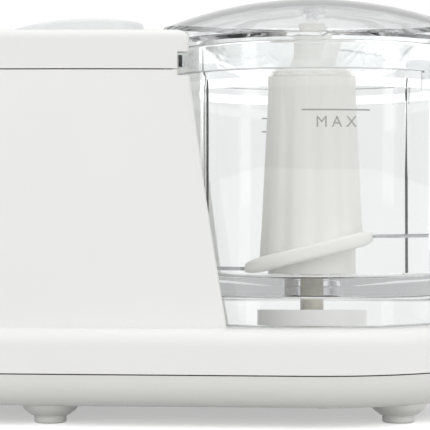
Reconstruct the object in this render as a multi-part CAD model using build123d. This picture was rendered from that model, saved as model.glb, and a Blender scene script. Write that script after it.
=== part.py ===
"""Side-motor food processor: white housing with a motor tower, clear bowl, clear lid and blade.

Millimetres. +X runs from the motor tower to the bowl, +Y to the back, +Z up.
The origin is under the middle of the object, on the surface it stands on.
"""
import math
import os

from build123d import *

os.makedirs("parts", exist_ok=True)

# Plan of the base and the tower
overall_length = 212.0
base_depth = 118.0
left_end_depth = 100.0
wall = 2.4
bowl_x = overall_length / 2 - base_depth / 2
left_end_x = left_end_depth / 2 - overall_length / 2
tower_top_half_depth = 34.8
tower_flare = 11.6
tower_flare_power = 1.4
tower_left_shelf = 7.0
tower_crown = 2.0
horn_spread = 3.2
tower_corner_margin = 4.0
horn_edge_radius = 1.6

# Heights
foot_pad_height = 2.6
foot_boss_height = 3.6
bottom_cover_height = 10.8
deck_rise = 14.3
tower_rise = 83.4
top_cover_height = 13.1
seam_gap = 0.4
cover_floor = foot_pad_height + foot_boss_height
base_seam = cover_floor + bottom_cover_height
deck_top = base_seam + deck_rise
tower_seam = deck_top + tower_rise
tower_top = tower_seam + top_cover_height
deck_underside = deck_top - wall

# Edges
bottom_edge_radius = 8.5
deck_edge_radius = 5.5
cover_edge_radius = 3.2

# Feet
foot_x = (left_end_x + 16.2, bowl_x + 26.2)
foot_y = 35.0
foot_boss_radius = 9.3
foot_boss_tip_radius = 6.2
foot_boss_round = 3.4
foot_pad_radius = 5.25
foot_pad_recess = 1.6
foot_pad_clearance = 0.1
foot_pad_edge = 0.8

# Bowl and the recess it stands in
bowl_radius = 49.9
bowl_wall = 2.2
bowl_rim_step = 0.4
bowl_clearance = 0.4
bowl_skirt_height = 9.6
bowl_floor_thickness = 3.2
bowl_inside_height = 78.0
bowl_step_drop = 12.8
bowl_rib_angle = 50.0
bowl_rib_width = 1.4
bowl_rib_height = 0.9
bowl_rib_drop = 9.0
lid_clearance = 0.4
lid_wall = 1.6
recess_clearance = 0.8
pedestal_radius = 18.8
pedestal_height = 6.0
bowl_seat = deck_top + bowl_clearance
bowl_floor_underside = bowl_seat + bowl_skirt_height
bowl_floor = bowl_floor_underside + bowl_floor_thickness
bowl_rim = bowl_floor + bowl_inside_height
bowl_step = bowl_rim - bowl_step_drop
bowl_inner_radius = bowl_radius - bowl_wall
lid_skirt_inner = bowl_radius + lid_clearance
lid_radius = lid_skirt_inner + lid_wall
recess_radius = lid_radius + recess_clearance
recess_left = bowl_x - recess_radius

# Spindle
shaft_radius = 4.0
running_clearance = 0.05
spindle_bush_radius = 6.5
spindle_bush_length = 4.5
spindle_tube_radius = 9.0
spindle_tube_drop = 3.0
drive_head_flats = 11.0
drive_head_length = 12.0
drive_head_clearance = 0.25
post_radius = 10.0
post_clearance = 0.7
post_height = 40.0
post_gap = 1.5
drive_head_corner = drive_head_flats / math.sqrt(3)
post_bore = drive_head_corner + post_clearance
post_top = bowl_floor + post_height
drive_head_base = post_top + post_gap
drive_head_top = drive_head_base + drive_head_length

# Pulleys and belt
motor_x = left_end_x + 12.0
motor_pulley_radius = 6.0
spindle_pulley_radius = 30.0
pulley_width = 10.0
pulley_flange = 1.6
pulley_flange_thickness = 1.2
pulley_web = 2.4
pulley_rim = 3.0
pulley_hub_wall = 4.5
pulley_base = cover_floor + wall + 5.0
belt_thickness = 1.6
belt_clearance = 0.3
belt_side_clearance = 0.5
pulley_top = pulley_base + pulley_width
pulley_middle = pulley_base + pulley_width / 2

# Motor
motor_radius = 18.0
motor_can_wall = 1.2
motor_can_height = 50.0
motor_shaft_radius = 1.6
bracket_thickness = 1.5
bracket_size = 50.0
damper_height = 2.5
air_gap = 0.6
magnet_thickness = 3.0
armature_length = 26.0
end_cap_height = 7.0
fan_radius = 15.5
fan_height = 6.0
motor_screw_spread = 19.0
can_base = deck_top + bracket_thickness + damper_height
can_top = can_base + motor_can_height
end_cap_top = can_top + end_cap_height
armature_base = can_base + 9.0
armature_radius = motor_radius - motor_can_wall - magnet_thickness - air_gap
fan_base = end_cap_top + 1.5
motor_shaft_top = fan_base + fan_height

# Pulse button and switch
button_x = motor_x + 9.5
button_half_length = 23.5
button_half_depth = 17.0
button_apex_shift = 6.5
button_apex_rise = 6.5
button_dome_radius = 100.0
button_clearance = 0.5
button_flange = 2.2
button_skirt = 7.5
button_wall = 2.0
button_travel = 3.0
button_edge_radius = 1.2
stem_radius = 3.0
button_top = tower_top + button_apex_rise

# Lid
lid_skirt_drop = 10.2
lid_rim_gap = 1.2
lid_rim_thickness = 1.8
lid_crown_wall = 2.2
lid_edge_radius = 0.6
lid_crown_height = 15.6
lid_crown_radius_x = 135.0
lid_crown_radius_y = 88.5
lid_dome_inset = 0.7
dish_outer_radius = 40.7
dish_hole_radius = 16.2
dish_depth = 11.0
lid_rim_underside = bowl_rim + lid_rim_gap
lid_rim_top = lid_rim_underside + lid_rim_thickness
lid_crown = lid_rim_top + lid_crown_height
lid_skirt_bottom = lid_rim_underside - lid_skirt_drop

# Lid's locking tab, and the notch and groove it uses in the tower's front horn
tab_angle = 209.0
tab_half_angle = 2.6
tab_reach = 3.0
tab_thickness = 3.9
tab_rise = 2.4
tab_clearance = 0.6
lid_turn_angle = 30.0
notch_low_drop = 3.3
tab_low = lid_skirt_bottom + tab_rise
tab_high = tab_low + tab_thickness
tab_radius = lid_radius + tab_reach

# Blade hub and blades
hub_bottom_gap = 3.0
hub_foot_radius = 18.2
hub_sleeve_radius = 14.8
hub_top_radius = 14.7
hub_column_height = 68.7
hub_flutes = 10
hub_flute_radius = 6.0
hub_flute_depth = 0.8
hub_bore_clearance = 2.0
neck_radius = 5.0
neck_shoulder = 2.5
hub_cap_gap = 0.3
blade_thickness = 1.2
blade_bowl_gap = 4.2
blade_reach = bowl_inner_radius - blade_bowl_gap
blade_root_depth = 2.0
blade_root_front = 6.0
blade_root_back = 3.5
blade_belly = 8.5
blade_tip_sweep = 3.0
blade_spine_dip = 1.0
arm_width = 5.0
arm_thickness = 5.0
arm_left = 25.0
arm_right = 21.5
lower_blade_rise = 2.7
upper_blade_rise = 13.5
hub_bottom = bowl_floor + hub_bottom_gap
hub_column_top = hub_bottom + hub_column_height
bearing_pin_radius = 2.25
bearing_pin_bore = 1.2
bearing_pin_length = 5.0
bearing_pin_drop = 6.6
bearing_pin_bottom = lid_crown - bearing_pin_drop
neck_top = bearing_pin_bottom - hub_cap_gap

# Screws
screw_radius = 1.5
screw_head_radius = 3.0
screw_head_height = 2.0
screw_head_edge = 0.6
screw_slot_width = 0.8
screw_clearance = 0.1
post_wall_radius = 4.4
base_screw_y = base_depth / 2 - 11.5
left_screw_x = left_end_x - 32.0
left_screw_y = 18.0
base_screw_spots = ((bowl_x, base_screw_y), (bowl_x, -base_screw_y),
                    (left_screw_x, left_screw_y), (left_screw_x, -left_screw_y))
lug_bite = 1.2
lug_length = 8.0
lug_y = tower_top_half_depth - wall - post_wall_radius + lug_bite
left_lug_x = -overall_length / 2 + tower_left_shelf + tower_flare + 7.9
left_lug_y = 15.0
right_lug_x = recess_left - 12.3
top_screw_spots = ((left_lug_x, left_lug_y), (left_lug_x, -left_lug_y),
                   (right_lug_x, lug_y), (right_lug_x, -lug_y))
screw_bite = 10.0

# Cord inlet
inlet_angle = 110.0
inlet_radius = 3.4
inlet_bore = 2.5
inlet_flange_radius = 4.8
inlet_flange = 1.4
inlet_height = 5.4


def save(name, shape):
    """Write one node's solids."""
    shape.label = name
    export_step(shape, f"parts/{name}.step")


def rod(radius, low, high, x=0.0, y=0.0):
    """Upright solid cylinder between two heights."""
    base = (Align.CENTER, Align.CENTER, Align.MIN)
    return Pos(x, y, low) * Cylinder(radius, high - low, align=base)


def tube(radius, bore, low, high, x=0.0, y=0.0):
    """Upright cylinder with a hole right through it."""
    return rod(radius, low, high, x, y) - rod(bore, low - 1, high + 1, x, y)


def block(x_low, x_high, y_low, y_high, z_low, z_high):
    """Box between two corners."""
    base = (Align.MIN, Align.MIN, Align.MIN)
    size = (x_high - x_low, y_high - y_low, z_high - z_low)
    return Pos(x_low, y_low, z_low) * Box(*size, align=base)


def group(solids):
    """Separate solids that share one node."""
    return Compound(children=list(solids))


def turned(points, x):
    """Solid of revolution about an upright axis at x, from (radius, height) points."""
    outline = Plane.XZ * make_face(Polyline(*points, close=True))
    return Pos(x, 0, 0) * revolve(outline, Axis.Z)


def base_slab(inset, low, high):
    """Egg-shaped base plan, drawn in by inset, between two heights."""
    bowl_end = Pos(bowl_x, 0) * Circle(base_depth / 2 - inset)
    left_end = Pos(left_end_x, 0) * Circle(left_end_depth / 2 - inset)
    plan = make_hull([*bowl_end.edges(), *left_end.edges()])
    return Pos(0, 0, low) * extrude(plan, high - low)


def tower_section(height, inset):
    """Tower plan at one height: crowned front, back and left side, rounded left corners."""
    climb = min(1.0, (height - base_seam) / (tower_seam - base_seam))
    flare = tower_flare * (1 - max(0.0, climb) ** tower_flare_power)
    half = tower_top_half_depth + flare - inset
    left = -overall_length / 2 + tower_left_shelf + tower_flare - flare + inset
    right = bowl_x - recess_radius / 3
    middle = (left + right) / 2
    side = half - tower_crown
    horn_side = side + horn_spread * (1 - max(0.0, climb)) ** 2
    front = ThreePointArc((right, -horn_side), (middle, -half), (left + tower_crown, -side))
    end = ThreePointArc((left + tower_crown, -side), (left, 0), (left + tower_crown, side))
    back = ThreePointArc((left + tower_crown, side), (middle, half), (right, horn_side))
    plan = make_face([front, end, back, Line((right, horn_side), (right, -horn_side))])
    corners = plan.vertices().filter_by(lambda corner: corner.X < middle)
    return Pos(0, 0, height) * fillet(corners, side - tower_corner_margin)


def tower_block(inset, low, high, stations=5):
    """Tower shape between two heights, with the bowl's recess cut out."""
    heights = [low + (high - low) * step / (stations - 1) for step in range(stations)]
    shape = loft([tower_section(height, inset) for height in heights])
    return shape - rod(recess_radius + inset, low - 1, high + 1, bowl_x)


def horn_edges(shape):
    """Upright edges where the recess meets the tower's front and back."""
    long_edges = shape.edges().filter_by(lambda edge: abs(edge.tangent_at(0.5).Z) > 0.8)
    return long_edges.filter_by(lambda edge: edge.center().X > 0)


# Upper housing: the tower and the deck, one white moulding
deck_body = base_slab(0, base_seam + seam_gap / 2, deck_top)
deck_body = fillet(deck_body.edges().group_by(Axis.Z)[-1], deck_edge_radius)
tower_body = tower_block(0, base_seam + seam_gap, tower_seam - seam_gap / 2)
tower_body = fillet(horn_edges(tower_body), horn_edge_radius)
housing = deck_body + tower_body
housing += rod(pedestal_radius, deck_underside, deck_top + pedestal_height, bowl_x)
housing -= base_slab(wall, base_seam - 1, deck_underside)
housing -= tower_block(wall, deck_top, tower_seam + 1)
spindle_tube_bottom = pulley_top + spindle_tube_drop
housing -= rod(pedestal_radius - wall, deck_underside - 1, deck_top + pedestal_height - wall, bowl_x)
housing += rod(spindle_tube_radius, spindle_tube_bottom, deck_top + pedestal_height, bowl_x)
housing -= rod(spindle_bush_radius, spindle_tube_bottom - 1, deck_top + pedestal_height + 1, bowl_x)
housing -= rod(motor_radius / 2, deck_underside - 1, deck_top + 1, motor_x)
for spread in (-motor_screw_spread, motor_screw_spread):
    housing -= rod(screw_radius + screw_clearance, deck_underside - 1, deck_top + 1, motor_x + spread)
for x, y in base_screw_spots:
    housing += rod(post_wall_radius, base_seam + seam_gap / 2, deck_underside + wall / 2, x, y)
    housing -= rod(screw_radius + screw_clearance, base_seam, base_seam + screw_bite + 1, x, y)
lug_low = tower_seam - seam_gap / 2 - lug_length
for x, y in top_screw_spots:
    housing += rod(post_wall_radius, lug_low, tower_seam - seam_gap / 2, x, y)
    housing -= rod(screw_radius + screw_clearance, lug_low - 1, tower_seam, x, y)


def radial_piece(radius, start, end):
    """Cylinder along the cord inlet's own line, between two distances from the left end's axis."""
    base = (Align.CENTER, Align.CENTER, Align.MIN)
    piece = Pos(0, 0, start) * Cylinder(radius, end - start, align=base)
    aim = Pos(left_end_x, 0, base_seam + inlet_height) * Rot(0, 0, inlet_angle) * Rot(0, 90, 0)
    return aim * piece


left_end_radius = left_end_depth / 2
housing -= radial_piece(inlet_radius + screw_clearance, left_end_radius - 2 * wall, left_end_radius + 2)

# The tab's way through the horn: a notch it turns out by, and a groove it lifts out by
notch_low = tab_low - notch_low_drop
notch_reach = tab_radius + tab_clearance
notch_margin = 1.5
notch_start = tab_angle - tab_half_angle - notch_margin


def ring_sector(inner, outer, low, high, start, sweep):
    """Part of a ring about the bowl's axis."""
    ring = tube(outer, inner, low, high, bowl_x)
    middle = math.radians(start + sweep / 2)
    reach = 2 * outer
    far = reach * math.tan(math.radians(sweep / 2))
    wedge = make_face(Polyline((0, 0), (reach, -far), (reach, far), close=True))
    wedge = Pos(bowl_x, 0, low - 1) * Rot(0, 0, math.degrees(middle)) * extrude(wedge, high - low + 2)
    return ring & wedge


groove_sweep = 2 * (tab_half_angle + notch_margin)
notch_sweep = lid_turn_angle + groove_sweep
notch_inner = lid_radius - 1.0
window_inset = 7.0
window_depth = 9.0
notch = ring_sector(notch_inner, notch_reach, notch_low, tab_high + tab_clearance,
                    notch_start, notch_sweep)
groove = ring_sector(notch_inner, notch_reach, notch_low, tower_top + 1, notch_start, groove_sweep)
window = block(recess_left + window_inset, bowl_x, -tower_top_half_depth - tower_flare,
               window_depth - tower_top_half_depth, notch_low, tab_high + tab_clearance)
housing -= notch + groove + window

# Interlock slider: an acetal tongue under the tab, guided by a slot in the recess wall
slider_half_angle = 2.2
slider_clearance = 0.3
slider_length = 12.9
slider_travel = 2.5
slider_flange = 1.6
slot_margin = 0.8
slider_slot_angle = 2 * slider_half_angle + slot_margin
slider_guide_angle = 4 * slider_half_angle + slot_margin
slider_high = tab_low - slider_clearance
slider_low = slider_high - slider_length
slider_inner = recess_radius + slider_clearance
slider_outer = recess_radius + wall + slider_clearance
slider = ring_sector(slider_inner, slider_outer, slider_low, slider_high,
                     tab_angle - slider_half_angle, 2 * slider_half_angle)
slider += ring_sector(slider_outer - 0.1, slider_outer + slider_flange, slider_low, notch_low - slider_travel,
                      tab_angle - 2 * slider_half_angle, 4 * slider_half_angle)
slider_slot = ring_sector(recess_radius - 1, slider_outer, slider_low - slider_travel - 1, notch_low + 1,
                          tab_angle - slider_slot_angle / 2, slider_slot_angle)
slot_outer = slider_outer + slider_flange + slider_clearance
slider_slot += ring_sector(recess_radius + wall - 0.05, slot_outer, slider_low - slider_travel - 1,
                           notch_low - slider_travel + slider_clearance,
                           tab_angle - slider_guide_angle / 2, slider_guide_angle)
housing -= slider_slot
save("upper_housing", housing)
save("interlock_slider", slider)

# Tower top cover: a cap with an opening for the pulse button
cover_low = tower_seam + seam_gap / 2
top_cover = tower_block(0, cover_low, tower_top, stations=4)
top_cover = fillet(horn_edges(top_cover), horn_edge_radius)
cap_rim = top_cover.faces().sort_by(Axis.Z)[-1].edges()
top_cover = fillet(cap_rim, cover_edge_radius)
top_cover -= tower_block(wall, cover_low - 1, tower_top - wall, stations=4)


def button_plan(margin):
    """Oval plan of the pulse button, grown by a margin."""
    return Pos(button_x, 0) * Ellipse(button_half_length + margin, button_half_depth + margin)


top_cover -= Pos(0, 0, tower_top - 2 * wall) * extrude(button_plan(button_clearance), 3 * wall)
for x, y in top_screw_spots:
    top_cover += rod(post_wall_radius - 0.4, cover_low, tower_top - wall + 0.3, x, y)
    top_cover -= rod(screw_radius + screw_clearance, cover_low - 1, tower_top - wall - 1, x, y)
top_cover -= notch + groove + window
save("tower_top_cover", top_cover)

# Bottom cover, with a moulded boss over each foot
bottom_cover = base_slab(0, cover_floor, base_seam - seam_gap / 2)
bottom_cover = fillet(bottom_cover.edges().group_by(Axis.Z)[0], bottom_edge_radius)
cover_inside = base_slab(wall, cover_floor + wall, base_seam + 1)
cover_inside = fillet(cover_inside.edges().group_by(Axis.Z)[0], bottom_edge_radius - wall)
bottom_cover -= cover_inside
foot_spots = [(x, y) for x in foot_x for y in (-foot_y, foot_y)]
foot_names = ("rear_left", "front_left", "rear_right", "front_right")
boss_profile = ((0, foot_pad_height), (foot_boss_tip_radius, foot_pad_height),
                (foot_boss_radius, cover_floor - foot_boss_height / 3),
                (foot_boss_radius, cover_floor + wall / 2), (0, cover_floor + wall / 2))
for x, y in foot_spots:
    boss = Pos(0, y, 0) * turned(boss_profile, x)
    shoulder = boss.edges().filter_by(GeomType.CIRCLE).filter_by(
        lambda edge: edge.radius > foot_boss_radius - 0.01 and edge.center().Z < cover_floor)
    bottom_cover += fillet(shoulder, foot_boss_round)
    pocket_radius = foot_pad_radius + foot_pad_clearance
    bottom_cover -= rod(pocket_radius, 0, foot_pad_height + foot_pad_recess, x, y)
head_seat = cover_floor + screw_head_height + 1.0
for x, y in base_screw_spots:
    bottom_cover += rod(post_wall_radius, cover_floor, base_seam - seam_gap / 2, x, y)
    bottom_cover -= rod(screw_head_radius + screw_clearance, cover_floor - 1, head_seat, x, y)
    bottom_cover -= rod(screw_radius + screw_clearance, cover_floor, base_seam + 1, x, y)
vent_length = 24.0
vent_width = 2.6
vent_pitch = 6.0
for step in range(-3, 4):
    vent_x = motor_x + step * vent_pitch
    vent = block(vent_x - vent_width / 2, vent_x + vent_width / 2, -vent_length / 2, vent_length / 2,
                 cover_floor - 1, cover_floor + wall + 1)
    bottom_cover -= vent
save("bottom_cover", bottom_cover)

# Rubber foot pads
for name, (x, y) in zip(foot_names, foot_spots):
    pad = rod(foot_pad_radius, 0, foot_pad_height + foot_pad_recess, x, y)
    pad = fillet(pad.edges().group_by(Axis.Z)[0], foot_pad_edge)
    save(f"foot_pad_{name}", pad)

# Screws


def screw(x, y, head_bottom, length):
    """Pan-head screw driven from below."""
    head = rod(screw_head_radius, head_bottom - screw_head_height, head_bottom, x, y)
    head = fillet(head.edges().group_by(Axis.Z)[0], screw_head_edge)
    half_slot = screw_slot_width / 2
    slot = block(x - screw_head_radius, x + screw_head_radius, y - half_slot, y + half_slot,
                 head_bottom - screw_head_height - 1, head_bottom - screw_head_height / 2)
    return head - slot + rod(screw_radius, head_bottom, head_bottom + length, x, y)


base_screw_length = base_seam - head_seat + screw_bite
save("bottom_cover_screws", group(screw(x, y, head_seat, base_screw_length) for x, y in base_screw_spots))
top_screw_length = tower_top - wall - 2.0 - lug_low
save("top_cover_screws", group(screw(x, y, lug_low, top_screw_length) for x, y in top_screw_spots))

# Pulse button: a domed cap with a skirt, a flange under the opening and a stem for the switch
dome_centre = button_top - button_dome_radius
button_dome = Pos(button_x + button_apex_shift, 0, dome_centre) * Sphere(button_dome_radius)
button_low = tower_top - button_skirt
button = Pos(0, 0, button_low) * extrude(button_plan(0), button_skirt + button_apex_rise) & button_dome
button_edge = button.edges().filter_by(
    lambda edge: edge.center().Z > tower_top and edge.geom_type not in (GeomType.LINE, GeomType.CIRCLE))
button = fillet(button_edge, button_edge_radius)
button_inner = button_plan(-button_wall)
button -= Pos(0, 0, button_low - 1) * extrude(button_inner, button_skirt - button_wall + 1)
flange_top = tower_top - wall - 0.2
button_rim = Pos(0, 0, flange_top - button_flange) * extrude(button_plan(button_clearance + 1.2),
                                                             button_flange)
button += button_rim - Pos(0, 0, button_low - 1) * extrude(button_inner, button_skirt + 1)
stem_length = button_skirt + 1.5
stem_bottom = tower_top - stem_length
button += rod(stem_radius, stem_bottom, tower_top, button_x)
save("pulse_button", button)

# Bowl: wall, floor, skirt, centre post and four ribs, one clear moulding
skirt_radius = bowl_radius - 0.4
bowl_profile = (
    (post_bore, bowl_floor_underside), (skirt_radius - bowl_wall, bowl_floor_underside),
    (skirt_radius - bowl_wall, bowl_seat), (skirt_radius, bowl_seat),
    (bowl_radius, bowl_floor), (bowl_radius, bowl_step), (bowl_radius - bowl_rim_step, bowl_step),
    (bowl_radius - bowl_rim_step, bowl_rim), (bowl_inner_radius, bowl_rim),
    (bowl_inner_radius, bowl_floor), (post_radius, bowl_floor), (post_radius, post_top),
    (post_bore, post_top),
)
bowl = turned(bowl_profile, bowl_x)
inner_foot = bowl.edges().filter_by(GeomType.CIRCLE).filter_by(
    lambda edge: abs(edge.radius - bowl_inner_radius) < 0.01 and abs(edge.center().Z - bowl_floor) < 0.01)
bowl = fillet(inner_foot, 4.0)
rib_outer = bowl_inner_radius + bowl_wall / 2
for side in (90, 270):
    for spread in (-bowl_rib_angle, bowl_rib_angle):
        rib = block(bowl_inner_radius - bowl_rib_height, rib_outer, -bowl_rib_width / 2,
                    bowl_rib_width / 2, bowl_floor - bowl_floor_thickness / 2, bowl_rim - bowl_rib_drop)
        bowl += Pos(bowl_x, 0, 0) * Rot(0, 0, side + spread) * rib
save("bowl", bowl)

# Lid base: skirt, level rim and the dish that dips round the blade's neck, one clear moulding
dish_bottom = lid_rim_underside - dish_depth + lid_rim_thickness


def dish_curve(offset):
    """Hollow side of the dish between its rim and its hole, moved down by an offset."""
    start = (dish_outer_radius, lid_rim_top - offset)
    end = (dish_hole_radius, dish_bottom - offset)
    middle = ((start[0] + end[0]) / 2 + 1.0, (start[1] + end[1]) / 2 - 1.2)
    return start, middle, end


upper_start, upper_middle, upper_end = dish_curve(0)
lower_start, lower_middle, lower_end = dish_curve(lid_wall)
lid_outline = [
    Line((lid_skirt_inner, lid_skirt_bottom), (lid_radius, lid_skirt_bottom)),
    Line((lid_radius, lid_skirt_bottom), (lid_radius, lid_rim_top)),
    Line((lid_radius, lid_rim_top), upper_start),
    ThreePointArc(upper_start, upper_middle, upper_end),
    Line(upper_end, lower_end),
    ThreePointArc(lower_end, lower_middle, lower_start),
    Line(lower_start, (dish_outer_radius, lid_rim_underside)),
    Line((dish_outer_radius, lid_rim_underside), (lid_skirt_inner, lid_rim_underside)),
    Line((lid_skirt_inner, lid_rim_underside), (lid_skirt_inner, lid_skirt_bottom)),
]
lid_face = Plane.XZ * make_face(lid_outline)
lid_base = Pos(bowl_x, 0, 0) * revolve(lid_face, Axis.Z)
lid_corners = lid_base.edges().filter_by(GeomType.CIRCLE).filter_by(
    lambda edge: edge.radius > lid_radius - 0.01)
lid_base = fillet(lid_corners, lid_edge_radius)
lid_base += ring_sector(lid_radius - lid_wall / 2, tab_radius, tab_low, tab_high,
                        tab_angle - tab_half_angle, 2 * tab_half_angle)
hook_half_angle = 4.0
hook_drop = 6.0
for hook_angle in (45.0, -45.0):
    lid_base += ring_sector(lid_skirt_inner + 0.2, lid_radius, lid_skirt_bottom - hook_drop,
                            lid_skirt_bottom + 1, hook_angle - hook_half_angle, 2 * hook_half_angle)
save("lid_base", lid_base)


def crown(inset):
    """Everything under the lid's crown: a surface arched lengthways and across."""
    arch_x = lid_crown_radius_x - inset
    arch_y = lid_crown_radius_y - inset
    pivot = lid_crown - lid_crown_radius_x
    half_angle = 24.0
    reach = lid_radius + 2.0
    edge_height = arch_x - arch_y + math.sqrt(arch_y ** 2 - reach ** 2)
    low = arch_x - 1.3 * (lid_crown - lid_skirt_bottom)
    arch = ThreePointArc((-reach, edge_height), (0, arch_x), (reach, edge_height))
    frame = Polyline((reach, edge_height), (reach, low), (-reach, low), (-reach, edge_height))
    section = Plane.YZ * make_face([arch, *frame.edges()])
    return Pos(bowl_x, 0, pivot) * Rot(0, -half_angle, 0) * revolve(section, Axis.Y, 2 * half_angle)


# Lid top: the domed cover welded to the level rim
dome_radius = lid_radius - lid_dome_inset
lid_top = rod(dome_radius, lid_rim_top, lid_crown + 1, bowl_x) & crown(0)
lid_top -= rod(dome_radius - lid_wall, lid_rim_top - 1, lid_crown + 1, bowl_x) & crown(lid_crown_wall)
pin_boss_wall = 2.4
pin_boss_rise = 1.6
boss_radius = bearing_pin_radius + pin_boss_wall
pin_top = bearing_pin_bottom + bearing_pin_length
lid_top += rod(boss_radius, bearing_pin_bottom + pin_boss_rise, lid_crown - lid_wall / 2, bowl_x)
pin_hole = bearing_pin_radius + running_clearance
lid_top -= rod(pin_hole, bearing_pin_bottom - 1, pin_top + 0.1, bowl_x)
save("lid_top", lid_top)

# Bearing pin: the small tube in the lid's centre that keeps the blade down
save("lid_bearing_pin", tube(bearing_pin_radius, bearing_pin_bore, bearing_pin_bottom, pin_top, bowl_x))

# Blade hub: a fluted, tapered skirt over a plain sleeve that drops over the bowl's post, with a neck on top
flute_centre = hub_foot_radius + hub_flute_radius - hub_flute_depth
hub_plan = Circle(hub_foot_radius)
for step in range(hub_flutes):
    flute_turn = Rot(0, 0, (step + 0.5) * 360 / hub_flutes)
    hub_plan -= flute_turn * Pos(flute_centre, 0) * Circle(hub_flute_radius)
hub_taper = math.degrees(math.atan((hub_foot_radius - hub_top_radius) / hub_column_height))
skirt = Pos(bowl_x, 0, hub_bottom) * extrude(hub_plan, hub_column_height, taper=hub_taper)
arm_low = hub_bottom + lower_blade_rise
arm_high = hub_bottom + upper_blade_rise
arm_run = arm_left + arm_right
arm_middle = (arm_low + arm_high) / 2
arm_middle_x = bowl_x + (arm_right - arm_left) / 2
arm_slope = math.degrees(math.atan((arm_high - arm_low) / arm_run))
arm_bow = 36.0
below_arm = Pos(arm_middle_x, 0, arm_middle) * Rot(0, -arm_slope, 0) * Box(
    4 * arm_run, 4 * arm_bow, hub_column_height, align=(Align.CENTER, Align.CENTER, Align.MAX))
blade_hub = skirt - below_arm + rod(hub_sleeve_radius, hub_bottom, hub_column_top - 1, bowl_x)
neck_profile = ((0, hub_column_top - 1), (hub_top_radius - 1, hub_column_top - 1),
                (hub_top_radius - 1, hub_column_top), (neck_radius, hub_column_top + neck_shoulder),
                (neck_radius, neck_top - 1.5), (neck_radius - 1.5, neck_top), (0, neck_top))
blade_hub += turned(neck_profile, bowl_x)
hub_bore = post_radius + hub_bore_clearance
socket_flats = drive_head_flats + 2 * drive_head_clearance
socket_radius = socket_flats / math.sqrt(3)
insert_low = drive_head_base + 0.5
insert_high = drive_head_top + 1.0
insert_radius = hub_bore - 2.5
blade_hub -= rod(hub_bore, hub_bottom - 1, insert_low, bowl_x)
blade_hub -= rod(insert_radius, insert_low - 1, insert_high + wall, bowl_x)

# Sloping arm across the front of the hub, which holds both blades
arm_centre_y = arm_bow - hub_foot_radius - arm_width + 1.5
arm_ring = Circle(arm_bow) - Circle(arm_bow - arm_width)
arm_reach = Pos(arm_middle_x, -arm_bow) * Rectangle(arm_run, 2 * arm_bow)
arm_plan = Pos(bowl_x, arm_centre_y) * arm_ring & arm_reach
arm = Pos(0, 0, hub_bottom - arm_thickness) * extrude(arm_plan, 3 * upper_blade_rise)
slab = Pos(arm_middle_x, 0, arm_middle) * Rot(0, -arm_slope, 0) * Box(3 * arm_run, 4 * arm_bow, arm_thickness)
arm &= slab
blade_hub += arm - rod(hub_bore + 1, hub_bottom - 1, insert_low, bowl_x)

# Blades: two flat sickle blades, the lower pointing left and the upper pointing right


def blade(height, turn):
    """Flat sickle blade with its root in the arm and its tip swept back."""
    root = hub_foot_radius - blade_root_depth
    tip = blade_reach
    middle = (root + tip) / 2
    cutting = ThreePointArc((root, -blade_root_front), (middle, -blade_belly), (tip, blade_tip_sweep))
    spine = ThreePointArc((tip, blade_tip_sweep), (middle, blade_spine_dip), (root, blade_root_back))
    plan = make_face([cutting, spine, Line((root, blade_root_back), (root, -blade_root_front))])
    sheet = Pos(0, 0, height) * extrude(plan, blade_thickness)
    return Pos(bowl_x, 0, 0) * Rot(0, 0, turn) * sheet


lower_blade = blade(arm_low - blade_thickness / 2, 196.0)
upper_blade = blade(arm_high - blade_thickness / 2, -22.0)
blade_hub -= lower_blade + upper_blade
save("blade_hub", blade_hub)
save("lower_blade", lower_blade)
save("upper_blade", upper_blade)

# Hexagonal socket pressed into the hub
hex_socket = Pos(bowl_x, 0, insert_low) * extrude(RegularPolygon(socket_radius, 6), insert_high - insert_low)
hub_insert = rod(insert_radius, insert_low, insert_high + wall, bowl_x) - hex_socket
save("hub_drive_socket", hub_insert)

# Spindle: shaft with its hexagonal drive head, pulley and clip
pulley_hub_top = spindle_tube_bottom - 0.6
save("spindle_shaft", rod(shaft_radius, pulley_base - 3.0, drive_head_base, bowl_x))
drive_hex = RegularPolygon(drive_head_corner, 6)
drive_head = Pos(bowl_x, 0, drive_head_base) * extrude(drive_hex, drive_head_length)
drive_head = chamfer(drive_head.edges().group_by(Axis.Z)[-1], 0.8)
save("drive_head", drive_head)


def belt_pulley(radius, bore, x, web):
    """Flanged pulley; a wide one is dished between its rim and its hub."""
    body = rod(radius, pulley_base, pulley_top, x)
    for low in (pulley_base, pulley_top - pulley_flange_thickness):
        body += rod(radius + pulley_flange, low, low + pulley_flange_thickness, x)
    if web:
        web_low, web_high = pulley_middle - pulley_web / 2, pulley_middle + pulley_web / 2
        rim_inner, hub_outer = radius - pulley_rim, bore + pulley_hub_wall
        body -= tube(rim_inner, hub_outer, pulley_base - 1, web_low, x)
        body -= tube(rim_inner, hub_outer, web_high, pulley_top + 1, x)
    return body - rod(bore, pulley_base - 1, pulley_top + 1, x)


save("spindle_pulley", belt_pulley(spindle_pulley_radius, shaft_radius, bowl_x, True))
save("motor_pulley", belt_pulley(motor_pulley_radius, motor_shaft_radius, motor_x, False))
clip_low = pulley_base - 1.6
save("spindle_clip", tube(shaft_radius + 2.0, shaft_radius, clip_low, clip_low + 1.0, bowl_x))
bush_bore = shaft_radius + running_clearance
pedestal_top = deck_top + pedestal_height
upper_bush_low = pedestal_top - spindle_bush_length
save("spindle_bush_upper", tube(spindle_bush_radius, bush_bore, upper_bush_low, pedestal_top, bowl_x))
lower_bush_top = spindle_tube_bottom + spindle_bush_length
save("spindle_bush_lower", tube(spindle_bush_radius, bush_bore, spindle_tube_bottom, lower_bush_top, bowl_x))

# Drive belt: a flat loop round both pulleys
belt_low = pulley_base + pulley_flange_thickness + belt_side_clearance
belt_high = pulley_top - pulley_flange_thickness - belt_side_clearance


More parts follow.
